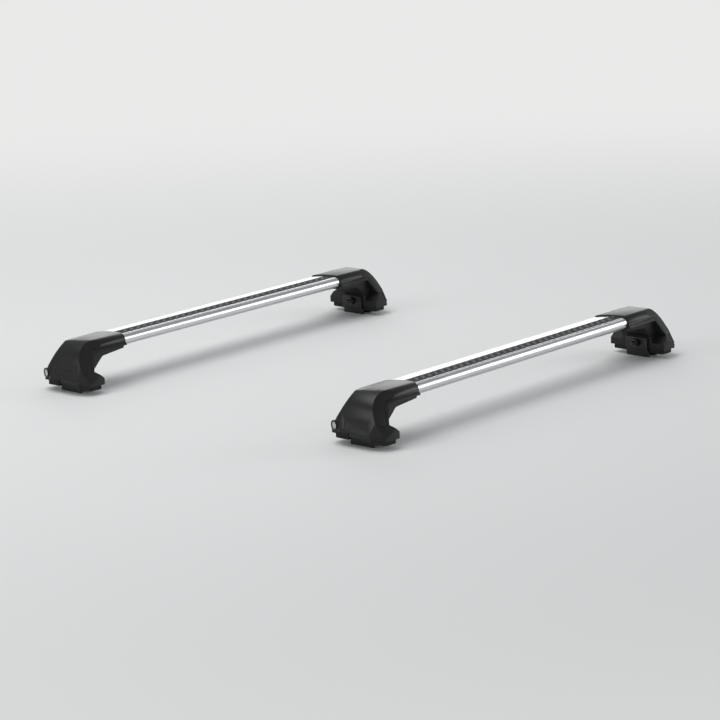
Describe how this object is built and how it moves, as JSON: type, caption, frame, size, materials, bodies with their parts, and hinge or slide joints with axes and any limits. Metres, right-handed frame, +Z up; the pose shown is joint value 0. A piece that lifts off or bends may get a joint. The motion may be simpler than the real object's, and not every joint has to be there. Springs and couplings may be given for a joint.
{
  "type": "pair of roof cross bars",
  "caption": "Pair of aerofoil roof cross bars with ribbed rubber strips, on moulded feet with locking hinged covers and screw-drawn jaws that clamp roof rails.",
  "frame": {"origin": "midway between the four feet, on the plane that the clamp jaws stand on", "axes": "+X along the bars to the car's left side, +Y to the car's rear, +Z up"},
  "size_m": [0.93, 0.9014, 0.1023],
  "materials": {
    "bar_aluminium": "satin anodised extrusion",
    "strip_rubber": "matt ribbed",
    "cover_plastic": "satin fine grain moulding",
    "body_plastic": "matt glass filled moulding",
    "pad_rubber": "matt",
    "jaw_steel": "black powder coat",
    "zinc_steel": "zinc plated",
    "lock_metal": "turned nickel"
  },
  "bodies": {
    "rack": {"front_bar": "bar_aluminium", "front_strip": "strip_rubber", "front_bar_screws": "zinc_steel", "front_nut_plates": "zinc_steel", "front_right_foot_body": "body_plastic", "front_right_hinge_block": "body_plastic", "front_right_hinge_pin": "zinc_steel", "front_right_rail_pad": "pad_rubber", "front_right_outer_jaw": "jaw_steel", "front_right_jaw_screws": "zinc_steel", "front_left_foot_body": "body_plastic", "front_left_hinge_block": "body_plastic", "front_left_hinge_pin": "zinc_steel", "front_left_rail_pad": "pad_rubber", "front_left_outer_jaw": "jaw_steel", "front_left_jaw_screws": "zinc_steel", "rear_bar": "bar_aluminium", "rear_strip": "strip_rubber", "rear_bar_screws": "zinc_steel", "rear_nut_plates": "zinc_steel", "rear_right_foot_body": "body_plastic", "rear_right_hinge_block": "body_plastic", "rear_right_hinge_pin": "zinc_steel", "rear_right_rail_pad": "pad_rubber", "rear_right_outer_jaw": "jaw_steel", "rear_right_jaw_screws": "zinc_steel", "rear_left_foot_body": "body_plastic", "rear_left_hinge_block": "body_plastic", "rear_left_hinge_pin": "zinc_steel", "rear_left_rail_pad": "pad_rubber", "rear_left_outer_jaw": "jaw_steel", "rear_left_jaw_screws": "zinc_steel"},
    "front_right_lid": {"front_right_cover": "cover_plastic"},
    "front_right_lock": {"front_right_lock_cylinder": "lock_metal", "front_right_lock_tongue": "zinc_steel"},
    "front_right_screw": {"front_right_clamp_screw": "zinc_steel"},
    "front_right_jaw": {"front_right_inner_jaw": "jaw_steel", "front_right_jaw_nut": "zinc_steel"},
    "front_left_lid": {"front_left_cover": "cover_plastic"},
    "front_left_lock": {"front_left_lock_cylinder": "lock_metal", "front_left_lock_tongue": "zinc_steel"},
    "front_left_screw": {"front_left_clamp_screw": "zinc_steel"},
    "front_left_jaw": {"front_left_inner_jaw": "jaw_steel", "front_left_jaw_nut": "zinc_steel"},
    "rear_right_lid": {"rear_right_cover": "cover_plastic"},
    "rear_right_lock": {"rear_right_lock_cylinder": "lock_metal", "rear_right_lock_tongue": "zinc_steel"},
    "rear_right_screw": {"rear_right_clamp_screw": "zinc_steel"},
    "rear_right_jaw": {"rear_right_inner_jaw": "jaw_steel", "rear_right_jaw_nut": "zinc_steel"},
    "rear_left_lid": {"rear_left_cover": "cover_plastic"},
    "rear_left_lock": {"rear_left_lock_cylinder": "lock_metal", "rear_left_lock_tongue": "zinc_steel"},
    "rear_left_screw": {"rear_left_clamp_screw": "zinc_steel"},
    "rear_left_jaw": {"rear_left_inner_jaw": "jaw_steel", "rear_left_jaw_nut": "zinc_steel"}
  },
  "joints": [
    {"name": "front_right_cover_hinge", "type": "hinge", "parent": "rack", "child": "front_right_lid", "pos_m": [-0.326, -0.3975, 0.09775], "axis": [0, 1, 0], "range_deg": [0, 60]},
    {"name": "front_right_lock_turn", "type": "hinge", "parent": "front_right_lid", "child": "front_right_lock", "pos_m": [-0.4576, -0.333, 0.036], "axis": [-0.9613, 0.2756, 0], "range_deg": [0, 90]},
    {"name": "front_right_screw_turn", "type": "hinge", "parent": "rack", "child": "front_right_screw", "pos_m": [-0.428, -0.384, 0.029], "axis": [1, 0, 0], "range_deg": [-2880, 0]},
    {"name": "front_right_jaw_slide", "type": "slide", "parent": "rack", "child": "front_right_jaw", "axis": [1, 0, 0], "range_m": [0, 0.01]},
    {"name": "front_left_cover_hinge", "type": "hinge", "parent": "rack", "child": "front_left_lid", "pos_m": [0.326, -0.3975, 0.09775], "axis": [0, -1, 0], "range_deg": [0, 60]},
    {"name": "front_left_lock_turn", "type": "hinge", "parent": "front_left_lid", "child": "front_left_lock", "pos_m": [0.4576, -0.333, 0.036], "axis": [-0.9613, -0.2756, 0], "range_deg": [0, 90]},
    {"name": "front_left_screw_turn", "type": "hinge", "parent": "rack", "child": "front_left_screw", "pos_m": [0.428, -0.384, 0.029], "axis": [-1, 0, 0], "range_deg": [-2880, 0]},
    {"name": "front_left_jaw_slide", "type": "slide", "parent": "rack", "child": "front_left_jaw", "axis": [-1, 0, 0], "range_m": [0, 0.01]},
    {"name": "rear_right_cover_hinge", "type": "hinge", "parent": "rack", "child": "rear_right_lid", "pos_m": [-0.326, 0.3705, 0.09775], "axis": [0, 1, 0], "range_deg": [0, 60]},
    {"name": "rear_right_lock_turn", "type": "hinge", "parent": "rear_right_lid", "child": "rear_right_lock", "pos_m": [-0.4576, 0.435, 0.036], "axis": [-0.9613, 0.2756, 0], "range_deg": [0, 90]},
    {"name": "rear_right_screw_turn", "type": "hinge", "parent": "rack", "child": "rear_right_screw", "pos_m": [-0.428, 0.384, 0.029], "axis": [1, 0, 0], "range_deg": [-2880, 0]},
    {"name": "rear_right_jaw_slide", "type": "slide", "parent": "rack", "child": "rear_right_jaw", "axis": [1, 0, 0], "range_m": [0, 0.01]},
    {"name": "rear_left_cover_hinge", "type": "hinge", "parent": "rack", "child": "rear_left_lid", "pos_m": [0.326, 0.3705, 0.09775], "axis": [0, -1, 0], "range_deg": [0, 60]},
    {"name": "rear_left_lock_turn", "type": "hinge", "parent": "rear_left_lid", "child": "rear_left_lock", "pos_m": [0.4576, 0.435, 0.036], "axis": [-0.9613, -0.2756, 0], "range_deg": [0, 90]},
    {"name": "rear_left_screw_turn", "type": "hinge", "parent": "rack", "child": "rear_left_screw", "pos_m": [0.428, 0.384, 0.029], "axis": [-1, 0, 0], "range_deg": [-2880, 0]},
    {"name": "rear_left_jaw_slide", "type": "slide", "parent": "rack", "child": "rear_left_jaw", "axis": [-1, 0, 0], "range_m": [0, 0.01]}
  ],
  "couplings": [
    {"joint": "front_right_screw_turn", "follows": "front_right_jaw_slide", "rad_per_m": -5026.5},
    {"joint": "front_left_screw_turn", "follows": "front_left_jaw_slide", "rad_per_m": -5026.5},
    {"joint": "rear_right_screw_turn", "follows": "rear_right_jaw_slide", "rad_per_m": -5026.5},
    {"joint": "rear_left_screw_turn", "follows": "rear_left_jaw_slide", "rad_per_m": -5026.5}
  ]
}
